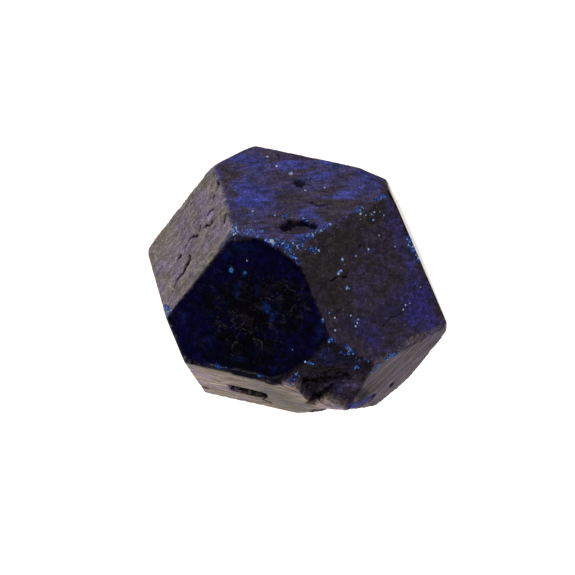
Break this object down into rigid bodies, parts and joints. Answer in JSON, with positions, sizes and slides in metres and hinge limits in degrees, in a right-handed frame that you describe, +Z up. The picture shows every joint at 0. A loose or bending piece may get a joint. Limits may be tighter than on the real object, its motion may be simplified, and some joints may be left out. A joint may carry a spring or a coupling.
{
  "type": "boleite crystal",
  "caption": "Loose indigo boleite crystal, a cube joined with an octahedron, with a broken corner, fine pits and slits, and tiny turquoise crystals along its edges.",
  "frame": {"origin": "centre of the bounding box's bottom face, in the plane of the octahedron face that the crystal rests on", "axes": "+Z up, away from the face that it rests on; -Y towards the front, where the glossy dark face and the broken corner are; +X to the right as seen from the front"},
  "size_m": [0.0122, 0.0112, 0.0091],
  "materials": {
    "boleite": "satin"
  },
  "bodies": {
    "root": {"boleite_crystal": "boleite"}
  },
  "joints": []
}
